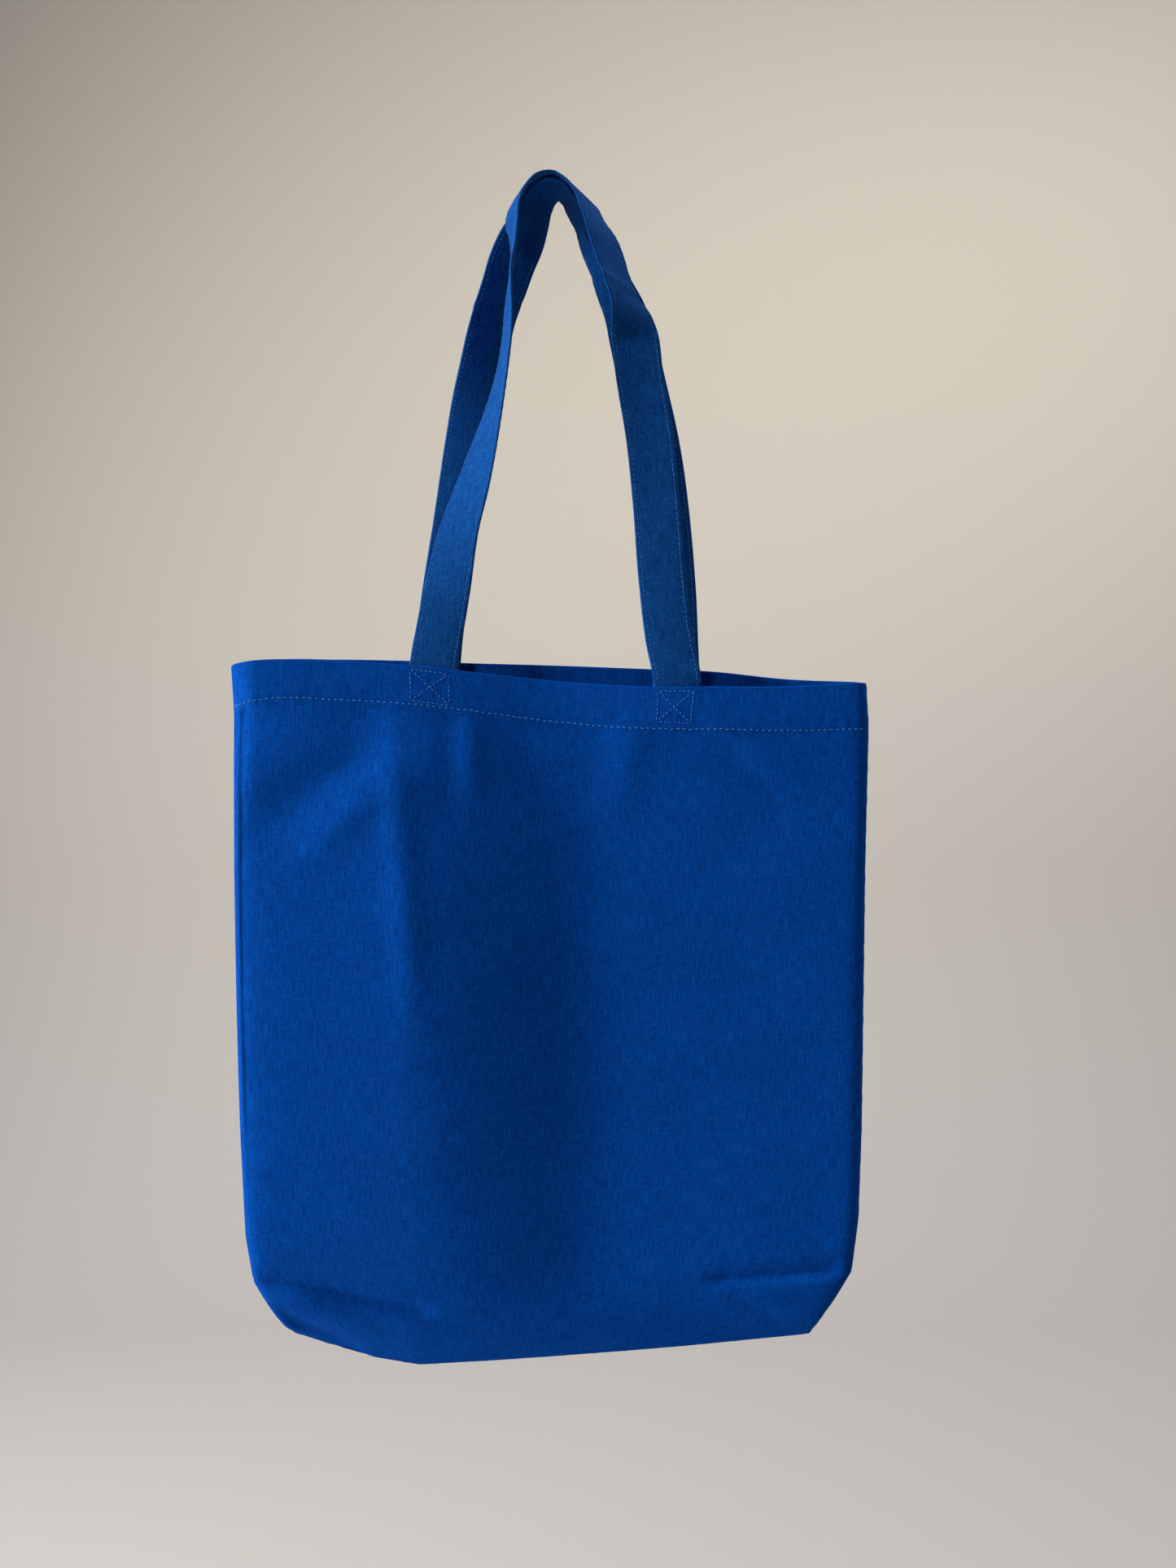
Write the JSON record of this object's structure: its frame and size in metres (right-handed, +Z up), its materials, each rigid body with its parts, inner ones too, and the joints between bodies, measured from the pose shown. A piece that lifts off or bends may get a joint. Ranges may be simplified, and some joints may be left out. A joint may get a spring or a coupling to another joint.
{
  "type": "canvas tote bag",
  "caption": "Lightweight canvas tote bag with a turned hem, box corners and long webbing handles, hanging empty from a hook.",
  "frame": {"origin": "top of the hook that the handles hang on, where the inner handle bears on it", "axes": "+Z up along the hanging bag, -Y out of the front panel, +X to the bag's right side as seen from the front"},
  "size_m": [0.3775, 0.0498, 0.706],
  "materials": {
    "canvas": "matte plain-weave cotton, royal blue",
    "strap": "matte folded cotton canvas, royal blue",
    "seam": "matte overlocked cotton edge, royal blue",
    "thread": "light blue polyester sewing thread"
  },
  "bodies": {
    "bag": {"back_panel": "canvas", "back_hem_thread": "thread", "back_handle_left_end": "strap", "back_handle_right_end": "strap", "back_box_thread_left": "thread", "back_box_thread_right": "thread", "left_side_seam": "seam", "right_side_seam": "seam", "left_corner_seam": "seam", "right_corner_seam": "seam", "bottom_seam": "seam"},
    "front_side": {"front_panel": "canvas", "front_hem_thread": "thread", "front_handle_left_end": "strap", "front_handle_right_end": "strap", "front_box_thread_left": "thread", "front_box_thread_right": "thread"},
    "front_strap": {"front_handle": "strap", "front_handle_thread_left": "thread", "front_handle_thread_right": "thread"},
    "back_strap": {"back_handle": "strap", "back_handle_thread_left": "thread", "back_handle_thread_right": "thread"}
  },
  "joints": [
    {"name": "mouth_open", "type": "hinge", "parent": "bag", "child": "front_side", "pos_m": [0, 0, -0.699], "axis": [1, 0, 0], "range_deg": [0, 8]},
    {"name": "front_handle_swing", "type": "hinge", "parent": "front_side", "child": "front_strap", "pos_m": [-0.0755, -0.01, -0.2838], "axis": [0.9975, 0, -0.0711], "range_deg": [0, 160]},
    {"name": "back_handle_swing", "type": "hinge", "parent": "bag", "child": "back_strap", "pos_m": [-0.0755, 0.01, -0.2781], "axis": [-0.9995, 0, 0.0325], "range_deg": [0, 160]}
  ]
}
